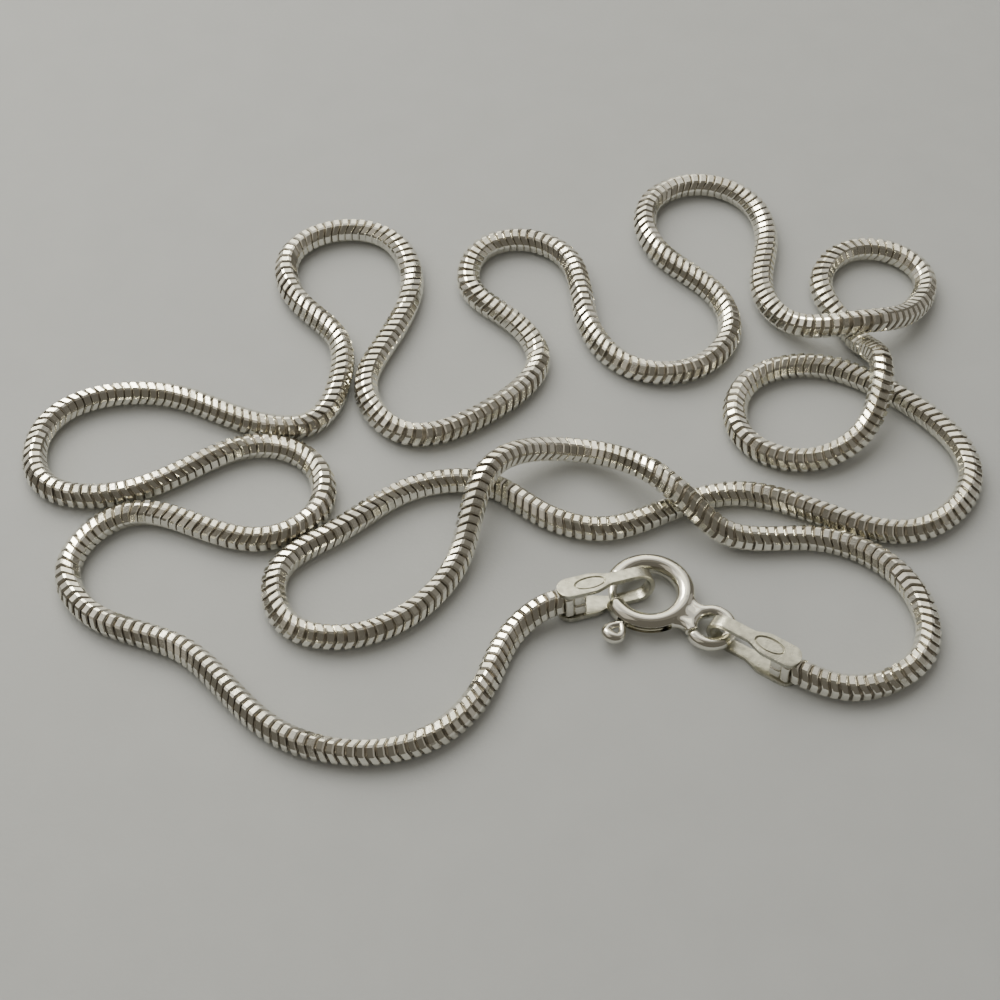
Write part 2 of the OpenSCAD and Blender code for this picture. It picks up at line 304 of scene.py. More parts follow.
def finished_object(name, mesh, material):
    """An object with one material"""
    mesh.materials.clear()
    mesh.materials.append(material)
    return new_object(name, mesh)


def shade(mesh, degrees=None):
    """Shades a mesh flat, or smooth but for the edges that are sharper than an angle"""
    for polygon in mesh.polygons:
        polygon.use_smooth = degrees is not None
    if degrees is not None:
        mesh.set_sharp_from_angle(angle=math.radians(degrees))


def modified_mesh(obj):
    """The mesh that an object's modifiers make; the object itself is thrown away"""
    bpy.context.view_layer.update()
    seen = obj.evaluated_get(bpy.context.evaluated_depsgraph_get())
    mesh = bpy.data.meshes.new_from_object(seen)
    old = obj.data
    bpy.data.objects.remove(obj)
    bpy.data.meshes.remove(old)
    return mesh


def cut_away(mesh, cutters):
    """Cuts closed meshes out of a closed mesh"""
    for cutter in cutters:
        body = new_object("work_body", mesh)
        tool = new_object("work_tool", cutter)
        modifier = body.modifiers.new("cut", "BOOLEAN")
        modifier.operation = "DIFFERENCE"
        modifier.solver = "EXACT"
        modifier.object = tool
        mesh = modified_mesh(body)
        bpy.data.objects.remove(tool)
        bpy.data.meshes.remove(cutter)
    return mesh


def melted(mesh, voxel):
    """Melts overlapping closed shells into one skin"""
    body = new_object("work_body", mesh)
    modifier = body.modifiers.new("melt", "REMESH")
    modifier.mode = "VOXEL"
    modifier.voxel_size = voxel
    modifier.adaptivity = 0.0
    return modified_mesh(body)


def smoothed(bm, verts, rounds):
    """Evens vertices out, a number of times"""
    for _ in range(rounds):
        bmesh.ops.smooth_vert(bm, verts=verts, factor=0.5, use_axis_x=True, use_axis_y=True,
                              use_axis_z=True)


# Finishes

# The scale of a noise pattern here is its number of patches to the metre

# Share by which polished silver's roughness differs from its mean
POLISH_SPREAD = 0.3


def new_material(name, metallic=1.0):
    """A material with its nodes, its links and its shader"""
    material = bpy.data.materials.new(name)
    material.use_nodes = True
    nodes, links = material.node_tree.nodes, material.node_tree.links
    shader = nodes["Principled BSDF"]
    shader.inputs["Metallic"].default_value = metallic
    return material, nodes, links, shader


def noise_node(nodes, links, scale, detail):
    """A noise pattern that is fixed to the object"""
    coordinates = nodes.new("ShaderNodeTexCoord")
    noise = nodes.new("ShaderNodeTexNoise")
    noise.inputs["Scale"].default_value = scale
    noise.inputs["Detail"].default_value = detail
    links.new(coordinates.outputs["Object"], noise.inputs["Vector"])
    return noise


def darker(colour, share):
    """A colour with a share of its light taken away"""
    return tuple(part * (1.0 - share) for part in colour)


def link_colour(nodes, links, shader, source, low, dark, high, bright):
    """Colours a material from dark where the source is low to bright where it is high"""
    ramp = nodes.new("ShaderNodeValToRGB")
    for element, place, colour in zip(ramp.color_ramp.elements, (low, high), (dark, bright)):
        element.position = place
        element.color = (*colour, 1.0)
    links.new(source, ramp.inputs["Fac"])
    links.new(ramp.outputs["Color"], shader.inputs["Base Color"])


def link_roughness(nodes, links, shader, source, low, high):
    """Sets a material's roughness between two values, as the source says"""
    spread = nodes.new("ShaderNodeMapRange")
    spread.inputs["To Min"].default_value = low
    spread.inputs["To Max"].default_value = high
    links.new(source, spread.inputs["Value"])
    links.new(spread.outputs["Result"], shader.inputs["Roughness"])


def link_bumps(nodes, links, shader, scale, detail, strength, depth):
    """Roughens a material's surface with fine noise"""
    fine = noise_node(nodes, links, scale, detail)
    bump = nodes.new("ShaderNodeBump")
    bump.inputs["Strength"].default_value = strength
    bump.inputs["Distance"].default_value = depth
    links.new(fine.outputs["Fac"], bump.inputs["Height"])
    links.new(bump.outputs["Normal"], shader.inputs["Normal"])


def silver(name, colour, roughness, scratches, tones, by_plate=False, patches=900.0):
    """Polished silver, whose polish, scratches and tone differ a little from place to place"""
    material, nodes, links, shader = new_material(name)
    dark = darker(colour, tones)
    if by_plate:
        plate = nodes.new("ShaderNodeAttribute")
        plate.attribute_name = "tone"
        link_colour(nodes, links, shader, plate.outputs["Fac"], 0.0, dark, 1.0, colour)
    else:
        cloud = noise_node(nodes, links, scale=patches, detail=2.0)
        link_colour(nodes, links, shader, cloud.outputs["Fac"], 0.3, dark, 0.7, colour)
    polish = noise_node(nodes, links, scale=2600.0, detail=3.0)
    link_roughness(nodes, links, shader, polish.outputs["Fac"],
                   roughness * (1.0 - POLISH_SPREAD), roughness * (1.0 + POLISH_SPREAD))
    link_bumps(nodes, links, shader, scale=9000.0, detail=4.0, strength=scratches, depth=0.00002)
    return material


def painted_shade_metal(name, colour):
    """Metal painted dark and mottled with shade, for the faces deep between the plates, with a rougher
    finish
    """
    material, nodes, links, shader = new_material(name)
    cloud = noise_node(nodes, links, scale=3000.0, detail=3.0).outputs["Fac"]
    link_colour(nodes, links, shader, cloud, 0.35, darker(colour, 0.5), 0.7, colour)
    link_roughness(nodes, links, shader, cloud, low=0.45, high=0.7)
    return material


def surface_material(colour):
    """Plain matt surface with a faint grain"""
    material, nodes, links, shader = new_material("plain_surface", metallic=0.0)
    grain = noise_node(nodes, links, scale=260.0, detail=6.0).outputs["Fac"]
    link_colour(nodes, links, shader, grain, 0.25, darker(colour, 0.05), 0.75, colour)
    shader.inputs["Roughness"].default_value = 0.6
    link_bumps(nodes, links, shader, scale=3000.0, detail=3.0, strength=0.15, depth=0.0001)
    return material


# Chain

class Route:
    """The chain's axis, with its place and direction at any length along it"""

    # Points drawn between two route points, and rounds in which the curve is made even
    STEPS, ROUNDS = 24, 8
    # Half of the stretch over which the chain's direction is taken, in metres
    REACH = 0.0002

    def __init__(self, points, lift):
        knots = [Vector((x, y, z + lift)) for x, y, z in points]
        spans = [(b - a).length for a, b in zip(knots, knots[1:])]
        plain = [self.slope(knots, spans, i) for i in range(len(knots))]
        even = plain
        for _ in range(self.ROUNDS):
            even = [self.evened(plain, even, spans, i) for i in range(len(knots))]
        self.points, self.marks = [], []
        for i, span in enumerate(spans):
            self.marks.append(len(self.points))
            for step in range(self.STEPS):
                t = step / self.STEPS
                point = self.between(knots, even, span, i, t)
                height = self.between(knots, plain, span, i, t).z
                point.z = min(max(height, lift), OVER + lift)
                self.points.append(point)
        self.marks.append(len(self.points))
        self.points.append(knots[-1])
        self.along = [0.0]
        for a, b in zip(self.points, self.points[1:]):
            self.along.append(self.along[-1] + (b - a).length)

    @staticmethod
    def slope(knots, spans, i):
        """Direction at a route point, weighted between the runs that meet there"""
        if i == 0:
            return (knots[1] - knots[0]) / spans[0]
        if i == len(knots) - 1:
            return (knots[-1] - knots[-2]) / spans[-1]
        before, after = spans[i - 1], spans[i]
        return ((knots[i] - knots[i - 1]) / before * after
                + (knots[i + 1] - knots[i]) / after * before) / (before + after)

    @staticmethod
    def evened(plain, slopes, spans, i):
        """Direction at a route point that keeps the bend even on both of its sides"""
        if i in (0, len(plain) - 1):
            return plain[i]
        before, after = spans[i - 1], spans[i]
        beside = slopes[i - 1] * after + slopes[i + 1] * before
        return 1.5 * plain[i] - beside / (2 * (before + after))

    @staticmethod
    def between(knots, slopes, span, i, t):
        """The point at a share t of the way from one route point to the next"""
        return ((2 * t ** 3 - 3 * t ** 2 + 1) * knots[i]
                + (t ** 3 - 2 * t ** 2 + t) * span * slopes[i]
                + (3 * t ** 2 - 2 * t ** 3) * knots[i + 1]
                + (t ** 3 - t ** 2) * span * slopes[i + 1])

    def length_at(self, knot):
        """The length along the axis up to a route point"""
        return self.along[self.marks[knot]]

    def point(self, length):
        """The point at a length along the axis"""
        i = min(max(bisect_right(self.along, length) - 1, 0), len(self.points) - 2)
        t = (length - self.along[i]) / (self.along[i + 1] - self.along[i])
        return self.points[i].lerp(self.points[i + 1], t)

    def place(self, length, turn=0.0):
        """A frame on the axis: X to the chain's left, Y up, Z along the chain"""
        low, high = max(0.0, length - self.REACH), min(self.along[-1], length + self.REACH)
        ahead = (self.point(high) - self.point(low)).normalized()
        left = Vector((0, 0, 1)).cross(ahead).normalized()
        up = ahead.cross(left)
        axes = Matrix((left, up, ahead)).transposed().to_4x4()
        return Matrix.Translation(self.point(length)) @ axes @ Matrix.Rotation(turn, 4, "Z")


def twist_at(length):
    """The chain's own turn at a length along it, between the places in TWIST"""
    i = min(max(bisect_right(TWIST, (length, 0)), 1), len(TWIST) - 1)
    (a, turn_a), (b, turn_b) = TWIST[i - 1:i + 1]
    return math.radians(turn_a + (turn_b - turn_a) * smooth_step(a, b, length))


# The plates' material slots: their walls, and the faces that are turned to their neighbours, which are
# painted with shade
BRIGHT, PAINTED_SHADE = 0, 1
# Radius of the core under a plate, as a share of its radius in a gap
CORE_WAIST = 0.9


def plate_mesh(sizes):
    """One eight-sided plate round the Z axis, saddle shaped so that it nests in the next"""
    band = mm(sizes.band)
    radius = mm(sizes.across) / 2 / math.cos(HALF_FACET)
    bm = bmesh.new()
    bmesh.ops.create_cone(bm, cap_ends=True, cap_tris=False, segments=FACETS, radius1=radius,
                          radius2=radius, depth=band, matrix=Matrix.Rotation(HALF_FACET, 4, "Z"))
    corners = [e for e in bm.edges if abs(e.verts[0].co.z - e.verts[1].co.z) > band / 2]
    round_edges(bm, corners, mm(sizes.corner), steps=1)
    rims = [e for e in bm.edges if abs(e.verts[0].co.z - e.verts[1].co.z) < band / 10]
    round_edges(bm, rims, mm(sizes.rim), steps=1)
    # The plates' end faces, turned to their neighbours, get the painted shade
    for face in bm.faces:
        face.material_index = PAINTED_SHADE if len(face.verts) > FACETS else BRIGHT
    for vert in bm.verts:
        vert.co.z += mm(sizes.wave) * (vert.co.x ** 2 - vert.co.y ** 2) / radius ** 2
    bm.faces.layers.float.new("tone")
    return finished_mesh(bm, "plate", normals=False)


def plate_row(name, route, sizes, first, last, materials, seed):
    """A stretch of chain: plates at an even pitch, whose tones and leans differ slightly"""
    pattern, chance = plate_mesh(sizes), random.Random(seed)
    row, one = bmesh.new(), bmesh.new()
    one.from_mesh(pattern)
    mesh = bpy.data.meshes.new(name)
    for number in range(first, last):
        length = sizes.collar + (number + 0.5) * sizes.pitch
        copy = one.copy()
        value, tone = chance.random(), copy.faces.layers.float["tone"]
        for face in copy.faces:
            face[tone] = value
        lean = (Matrix.Rotation(chance.uniform(-sizes.wobble, sizes.wobble), 4, "X")
                @ Matrix.Rotation(chance.uniform(-sizes.wobble, sizes.wobble), 4, "Y"))
        copy.transform(route.place(length, twist_at(length)) @ lean @ TO_METRES)
        copy.to_mesh(mesh)
        row.from_mesh(mesh)
        copy.free()
    row.to_mesh(mesh)
    row.free()
    one.free()
    bpy.data.meshes.remove(pattern)
    shade(mesh)
    for material in materials:
        mesh.materials.append(material)
    return new_object(name, mesh)


def core_row(name, route, sizes, first, last, material):
    """The plates' inner folds, as one knobbly core seen only in the gaps and painted dark with shade"""
    bm = bmesh.new()
    stations = []
    for half_step in range(2 * first + 1, 2 * last):
        length = sizes.collar + half_step * sizes.pitch / 2
        radius = sizes.core * (CORE_WAIST if half_step % 2 else 1.0)
        turn = twist_at(length) + HALF_FACET
        stations.append(route.place(length, turn) @ Matrix.Diagonal((radius, radius, radius, 1)))
    sweep(bm, stations, sides=FACETS)
    mesh = finished_mesh(bm, name)
    shade(mesh)
    return finished_object(name, mesh, material)


# End caps

# Distances from a leaf's round end between which it narrows to the strip, in millimetres
SHOULDER_FROM, SHOULDER_TO = 2.3, 3.7
# Steps along and across the flat strip, and how much closer they lie toward its round ends
STRIP_STEPS, STRIP_ROWS, STRIP_CROWDING = 220, 4, 1.6
# The outermost step's distance from the tip, as a share of the rounding, so that it has a width
TIP_SHARE = 0.02
# Edges of the strip that are sharper than this angle, in radians, are rounded
SHARP = 1.2
# Depth of the stamp's bed, and how far its cutter stands out of the leaf, in millimetres
BED_DEPTH, BED_ABOVE = 0.03, 0.06
# Half the width of the groove round the stamp, and its depth, in millimetres
GROOVE_WIDE, GROOVE_DEEP = 0.075, 0.11
# Steps round the stamp's oval
OVAL_STEPS = 48
# The end pieces of the chain between the leaves, in millimetres: each one's middle along X, length,
# width, height and rise over the chain's axis
END_PIECES = (
    (-1.52, 0.60, 1.56, 1.60, 0.0),
    (-0.80, 0.86, 1.42, 0.85, -0.435),
    (-0.80, 0.86, 1.42, 0.85, 0.435),
)
# Rounding of the end pieces' edges, in millimetres
END_ROUNDING = 0.17


def leaf_half_width(sizes, from_end):
    """Half the width of a leaf at a distance from its round end"""
    wide, narrow = mm(sizes.width) / 2, mm(sizes.strip) / 2
    if from_end < wide:
        return math.sqrt(max(0.0, wide ** 2 - (wide - from_end) ** 2))
    return wide + (narrow - wide) * smooth_step(SHOULDER_FROM, SHOULDER_TO, from_end)


def flat_strip(sizes, flat_half):
    """The strip of a cap before it is folded, cut to its outline and rounded at its edges"""
    leaf = mm(sizes.leaf)
    bm = bmesh.new()
    bmesh.ops.create_grid(bm, x_segments=STRIP_STEPS, y_segments=STRIP_ROWS, size=1.0)
    tip = mm(sizes.rounding) * TIP_SHARE
    for vert in bm.verts:
        share = abs(vert.co.x)
        from_end = tip + (flat_half - tip) * (1.0 - share) ** STRIP_CROWDING
        along = math.copysign(flat_half - from_end, vert.co.x)
        vert.co = Vector((along, vert.co.y * leaf_half_width(sizes, from_end), -leaf / 2))
    made = bmesh.ops.extrude_face_region(bm, geom=bm.faces[:])
    bmesh.ops.translate(bm, vec=(0, 0, leaf), verts=verts_of(made))
    bmesh.ops.recalc_face_normals(bm, faces=bm.faces[:])
    rims = [edge for edge in bm.edges if edge.calc_face_angle(0.0) > SHARP]
    round_edges(bm, rims, mm(sizes.rounding), steps=3, clamp=True)
    return bm


def folded_strip(sizes):
    """The strip of a cap, folded over, in millimetres"""
    height = mm(sizes.height)
    fold = height / 2 - mm(sizes.leaf) / 2
    fold_centre = mm(sizes.reach) - height / 2
    quarter = math.pi / 2 * fold
    bm = flat_strip(sizes, mm(sizes.grip) + fold_centre + quarter)
    for vert in bm.verts:
        along, across, out = vert.co
        if abs(along) <= quarter:
            turn = along / fold
            x = fold_centre + (fold + out) * math.cos(turn)
            z = height / 2 - (fold + out) * math.sin(turn)
        else:
            x = fold_centre - (abs(along) - quarter)
            z = height / 2 - math.copysign(fold + out, along)
        vert.co = Vector((x, across, z))
    close_slivers(bm)
    return finished_mesh(bm, "cap_strip")


def stamp_cutters(sizes):
    """What presses the bare oval: a shallow bed, and a groove round its edge"""
    half_length, half_width = mm(sizes.stamp_length) / 2, mm(sizes.stamp_width) / 2
    place = Matrix.Translation((mm(sizes.stamp_place - sizes.grip), 0, mm(sizes.height)))
    oval = Matrix.Diagonal((half_length, half_width, 1, 1))
    bed = bmesh.new()
    sweep(bed, [place @ Matrix.Translation((0, 0, z)) @ oval for z in (-BED_DEPTH, BED_ABOVE)],
          sides=OVAL_STEPS)
    groove, stations = bmesh.new(), []
    for i in range(OVAL_STEPS):
        turn = math.tau * i / OVAL_STEPS
        ahead = Vector((-half_length * math.sin(turn), half_width * math.cos(turn), 0)).normalized()
        spot = Vector((half_length * math.cos(turn), half_width * math.sin(turn), 0))
        stations.append(place @ along_path(spot, ahead)
                        @ Matrix.Diagonal((GROOVE_WIDE, GROOVE_DEEP, 1, 1)))
    sweep(groove, stations, sides=8, closed=True)
    return [finished_mesh(bed, "stamp_bed"), finished_mesh(groove, "stamp_groove")]


def cap_place(sizes, at_start, lift):
    """Where a cap stands: the chain's end over its origin, and its fold ahead along X"""
    points = ROUTE[:2] if at_start else ROUTE[-1:-3:-1]
    end, ahead = Vector(points[0]), Vector(points[0]) - Vector(points[1])
    end.z += lift
    lean = Matrix.Rotation(-sizes.lean, 4, "X") if at_start else Matrix()
    return (Matrix.Translation(end) @ Matrix.Rotation(math.atan2(ahead.y, ahead.x), 4, "Z") @ lean
            @ Matrix.Translation((0, 0, -sizes.height / 2)))


def end_cap(name, sizes, place, material):
    """A folded cap with its stamp, in its place"""
    mesh = cut_away(folded_strip(sizes), stamp_cutters(sizes))
    mesh.transform(place @ TO_METRES)
    shade(mesh, degrees=38)
    return finished_object(name, mesh, material)


def end_link(name, sizes, place, material):
    """The plain end pieces of the chain: a collar and a rounded block with a seam"""
    bm = bmesh.new()
    middle = mm(sizes.height) / 2
    for x, length, wide, high, rise in END_PIECES:
        shape = Matrix.Translation((x, 0, middle + rise)) @ Matrix.Diagonal((length, wide, high, 1))
        verts = bmesh.ops.create_cube(bm, size=1.0, matrix=shape)["verts"]
        round_edges(bm, edges_between(verts, bm.edges), END_ROUNDING, steps=4)
    mesh = finished_mesh(bm, name, place)
    shade(mesh, degrees=40)
    return finished_object(name, mesh, material)


# Clasp

# Lengths in this section are in millimetres

# Added to the radius of the ring's and the eyelet's wire, which melting thins, and the melt's grain
MELT_SWELL, MELT_VOXEL = 0.04, 0.05
# Width of the saw cut through the eyelet, and its place round the eyelet
SAW_CUT, SAW_TURN = 0.17, math.radians(235)
# Rounding of the tube's ends at the mouth, of the eyelet's sawn ends and of the bolt's ends
MOUTH_ROUNDING, EYELET_ROUNDING, BOLT_ROUNDING = 0.1, 0.08, 0.2
# How far the socket for the bolt's tip goes in, and how far both bores stand out into the mouth
SOCKET_DEPTH, BORE_OVERRUN = math.radians(13), math.radians(2)
# Half the length of the bar that cuts the slot, from the tube's axis outwards
SLOT_BAR = 0.35
# Radius of the neck's hollow sides, and of the round edge along each
NECK_HOLLOW, NECK_EDGE = 0.75, 0.45
# Turns round a hollow, in degrees, at which its round edge has a section
NECK_EDGE_TURNS = range(54, 150, 5)
# The neck's web: where it begins and ends, half its thickness and width, and its loss of thickness
WEB_FROM, WEB_TO, WEB_THICK, WEB_WIDE, WEB_LOSS = 2.5, 3.7, 0.54, 1.05, 0.1
# The stretch of the neck that is smoothed once more: its middle and its radius
NECK_MIDDLE, NECK_REACH = 3.1, 1.3
# The trigger's post: its radius, and where it has sections
POST_RADIUS, POST_PLACES = 0.21, (2.4, 2.8, 3.25)
# The trigger's loop: where it begins, its length, and how far it bows to either side
KNOB_FROM, KNOB_LENGTH, KNOB_BOW = 3.12, 1.20, 0.66
# Radius of the loop's wire at the post, and how much more it has at the far end
KNOB_WIRE, KNOB_SWELL = 0.23, 0.17


def clasp_place():
    """The ring's centre, which is where the bolt's joint turns"""
    return Matrix.Translation(Vector(frame["joints"][0]["pos_m"]))


def arc_mesh(name, radius, start, end, count, wide, rounded=0.0):
    """A round rod bent to an arc"""
    bm = bmesh.new()
    sweep(bm, arc_stations(radius, start, end, count, wide, rounded), sides=32)
    return finished_mesh(bm, name)


def slot_mesh(sizes):
    """The trigger's slot, as a bent square bar that reaches from the bore out past the wall"""
    bm = bmesh.new()
    count = 24
    stations = []
    for i in range(count + 1):
        angle = sizes.slot_from + (sizes.slot_to - sizes.slot_from) * i / count
        stations.append(arc_station(mm(sizes.ring) + SLOT_BAR, angle, SLOT_BAR * math.sqrt(2),
                                    mm(sizes.slot) / math.sqrt(2))
                        @ Matrix.Rotation(math.pi / 4, 4, "Z"))
    sweep(bm, stations, sides=4)
    return finished_mesh(bm, "slot")


def eyelet_turn(sizes):
    """Turns X toward the eyelet"""
    return Matrix.Rotation(sizes.eyelet_turn, 4, "Z")


def neck_web(sizes):
    """The flat middle of the neck between ring and eyelet"""
    bm = bmesh.new()
    count = 12
    stations = []
    for i in range(count + 1):
        x = WEB_FROM + (WEB_TO - WEB_FROM) * i / count
        stations.append(along_x(x, WEB_THICK - WEB_LOSS * smooth_step(WEB_FROM, WEB_TO, x), WEB_WIDE))
    sweep(bm, stations, sides=32)
    bm.transform(eyelet_turn(sizes))
    return finished_mesh(bm, "neck_web")


def neck_edge(sizes, side):
    """The full round edge along one hollow side of the neck, tangent to ring and eyelet"""
    reach = mm(sizes.eyelet_reach)
    from_ring = mm(sizes.ring + sizes.tube / 2) + NECK_HOLLOW
    from_eyelet = mm(sizes.eyelet + sizes.eyelet_wire / 2) + NECK_HOLLOW
    x = (from_ring ** 2 - from_eyelet ** 2 + reach ** 2) / (2 * reach)
    y = math.sqrt(from_ring ** 2 - x ** 2)
    bm = bmesh.new()
    sweep(bm, [arc_station(NECK_HOLLOW + NECK_EDGE, -side * math.radians(turned), NECK_EDGE)
               for turned in NECK_EDGE_TURNS], sides=24)
    bm.transform(eyelet_turn(sizes) @ Matrix.Translation((x, side * y, 0)))
    return finished_mesh(bm, "neck_edge")


def eyelet_place(sizes):
    """The eyelet's centre, with X away from the ring"""
    return eyelet_turn(sizes) @ Matrix.Translation((mm(sizes.eyelet_reach), 0, 0))


def eyelet_mesh(sizes):
    """The eyelet's wire, which begins and ends at the saw cut"""
    gap = math.asin(SAW_CUT / 2 / mm(sizes.eyelet))
    mesh = arc_mesh("eyelet", mm(sizes.eyelet), SAW_TURN + gap, SAW_TURN + math.tau - gap, count=64,
                    wide=mm(sizes.eyelet_wire) / 2 + MELT_SWELL, rounded=EYELET_ROUNDING)
    mesh.transform(eyelet_place(sizes))
    return mesh


def saw_mesh(sizes):
    """What saws the eyelet open, beside the neck: a blade wider and higher than the wire"""
    bm = bmesh.new()
    wire = mm(sizes.eyelet_wire)
    place = (eyelet_place(sizes) @ Matrix.Rotation(SAW_TURN, 4, "Z")
             @ Matrix.Translation((mm(sizes.eyelet), 0, 0))
             @ Matrix.Diagonal((2 * wire, SAW_CUT, 2.5 * wire, 1)))
    bmesh.ops.create_cube(bm, size=1.0, matrix=place)
    return finished_mesh(bm, "saw")


def ring_shells(sizes):
    """The ring's tube, the neck and the eyelet, as shells that overlap"""
    tube = arc_mesh("tube", mm(sizes.ring), sizes.mouth_to, sizes.mouth_from + math.tau, count=120,
                    wide=mm(sizes.tube) / 2 + MELT_SWELL, rounded=MOUTH_ROUNDING)
    shells = [tube, neck_web(sizes), neck_edge(sizes, -1), neck_edge(sizes, 1), eyelet_mesh(sizes)]
    bm = bmesh.new()
    for shell in shells:
        bm.from_mesh(shell)
        bpy.data.meshes.remove(shell)
    return finished_mesh(bm, "ring_shells", normals=False)


def ring_cutters(sizes):
    """The bolt's bore, the socket for its tip, the trigger's slot and the cut through the eyelet"""
    ring, bore = mm(sizes.ring), mm(sizes.bore) / 2
    mouth_from, mouth_to = sizes.mouth_from + BORE_OVERRUN, sizes.mouth_to - BORE_OVERRUN
    return [arc_mesh("bore", ring, mouth_to, sizes.bore_end, count=60, wide=bore),
            arc_mesh("socket", ring, sizes.mouth_from - SOCKET_DEPTH, mouth_from, count=8, wide=bore),
            slot_mesh(sizes), saw_mesh(sizes)]


def ring_piece(name, sizes, material):
    """The ring melted together with its neck and eyelet, then bored and slotted"""
    skin = melted(ring_shells(sizes), MELT_VOXEL)
    bm = bmesh.new()
    bm.from_mesh(skin)
    bpy.data.meshes.remove(skin)
    smoothed(bm, bm.verts[:], rounds=6)
    middle = eyelet_turn(sizes) @ Vector((NECK_MIDDLE, 0, 0))
    neck = [vert for vert in bm.verts if (vert.co - middle).length < NECK_REACH]
    smoothed(bm, neck, rounds=10)
    mesh = cut_away(finished_mesh(bm, name, normals=False), ring_cutters(sizes))
    mesh.transform(clasp_place() @ TO_METRES)
    shade(mesh, degrees=45)
    return finished_object(name, mesh, material)


def loop_point(turn):
    """A point of the trigger's teardrop loop, at a turn round it from the post"""
    return Vector((KNOB_FROM + KNOB_LENGTH * (1 - math.cos(turn)) / 2,
                   KNOB_BOW * math.sin(turn) * math.sin(turn / 2), 0))


def knob_mesh(sizes):
    """The trigger's post and its teardrop loop, thickest at the far end"""
    bm = bmesh.new()
    sweep(bm, [along_x(x, POST_RADIUS, POST_RADIUS) for x in POST_PLACES], sides=20)
    count, nearby = 48, 0.01
    stations = []
    for i in range(count):
        turn = math.tau * (i + 0.5) / count
        ahead = (loop_point(turn + nearby) - loop_point(turn - nearby)).normalized()
        thick = KNOB_WIRE + KNOB_SWELL * math.sin(turn / 2) ** 4
        stations.append(along_path(loop_point(turn), ahead) @ Matrix.Diagonal((thick, thick, thick, 1)))
    sweep(bm, stations, sides=16, closed=True)
    bm.transform(Matrix.Rotation(sizes.trigger, 4, "Z"))
    return finished_mesh(bm, "knob")


def bolt_piece(name, sizes, material):
    """The bolt's bent rod with the trigger's post and loop"""
    bm = bmesh.new()
    rod = arc_stations(mm(sizes.ring), sizes.tip, sizes.tail, count=60, wide=mm(sizes.bolt) / 2,
                       rounded=BOLT_ROUNDING)
    sweep(bm, rod, sides=24)
    knob = knob_mesh(sizes)
    bm.from_mesh(knob)
    bpy.data.meshes.remove(knob)
    mesh = finished_mesh(bm, name, clasp_place())
    shade(mesh, degrees=50)
    return finished_object(name, mesh, material)


# Stage

# The camera's place in metres, its tilt up from looking straight down, and its lens and sensor in
# millimetres
CAMERA_PLACE, CAMERA_TILT = (-0.0001016, -0.098155, 0.117015), math.radians(38.4)
CAMERA_LENS, CAMERA_SENSOR = 79.2, 36.0
# Half the side of the surface, in metres
SURFACE_REACH = 0.6
# Each lamp's name, its bearing and rise from the necklace in degrees, its distance, width and height in
# metres, its brightness and colour, whether the silver mirrors it and whether it lights the surface
LAMPS = (
    ("window", 108, 36, 0.60, 1.60, 1.10, 0.47, (1.0, 0.98, 0.93), True, True),
    ("window_panes", 108, 38, 0.59, 1.00, 0.66, 0.42, (1.0, 0.96, 0.79), True, False),
    ("window_middle", 112, 40, 0.58, 0.66, 0.44, 0.9, (1.0, 0.96, 0.79), True, False),
    ("sky", 122, 44, 0.55, 0.20, 0.17, 16.0, (1.0, 0.96, 0.80), True, False),
    ("ceiling", 90, 84, 0.60, 1.20, 0.44, 0.07, (1.0, 0.95, 0.85), True, False),
    ("left_wall", -165, 48, 0.60, 0.44, 0.44, 0.34, (1.0, 0.93, 0.82), True, False),
    ("right_wall", 0, 22, 0.60, 0.60, 0.40, 0.20, (1.0, 0.96, 0.90), True, False),
    ("back_fill", 131, 54, 0.30, 0.40, 0.40, 2.05, (1.0, 1.0, 0.98), False, True),
    ("front_fill", -80, 49, 0.46, 0.60, 0.60, 0.50, (1.0, 0.98, 0.95), False, True),
)


def hang_lamp(name, bearing, rise, away, wide, high, brightness, colour, mirrored, lights):
    """Hangs one soft lamp round the necklace and turns it to the middle"""
    turn, lift = math.radians(bearing), math.radians(rise)
    spot = away * Vector((math.cos(turn) * math.cos(lift), math.sin(turn) * math.cos(lift),
                          math.sin(lift)))
    data = bpy.data.lights.new(name, "AREA")
    data.shape = "RECTANGLE"
    data.size, data.size_y = wide, high
    data.energy = brightness * math.pi * wide * high
    data.color = colour
    lamp = bpy.data.objects.new(name, data)
    lamp.location = spot
    lamp.rotation_euler = (-spot).to_track_quat("-Z", "Y").to_euler()
    lamp.visible_glossy, lamp.visible_diffuse = mirrored, lights
    bpy.context.scene.collection.objects.link(lamp)


# Operators

def settings(context):
    """The chain's, the caps', the clasp's and the finishes' settings"""
    scene = context.scene
    return scene.necklace_chain, scene.necklace_caps, scene.necklace_clasp, scene.necklace_look


class NECKLACE_OT_camera(bpy.types.Operator):
    """Sets the camera up in front of and above the necklace"""
    bl_idname = "necklace.camera"
    bl_label = "Camera"

    def execute(self, context):
        data = bpy.data.cameras.new("view_camera")
        data.lens = CAMERA_LENS
        data.sensor_width = CAMERA_SENSOR
        data.clip_start = 0.005
        data.clip_end = 10.0
        camera = bpy.data.objects.new("view_camera", data)
        camera.location = CAMERA_PLACE
        camera.rotation_euler = (CAMERA_TILT, 0.0, 0.0)
        context.scene.collection.objects.link(camera)
        context.scene.camera = camera
        return {"FINISHED"}


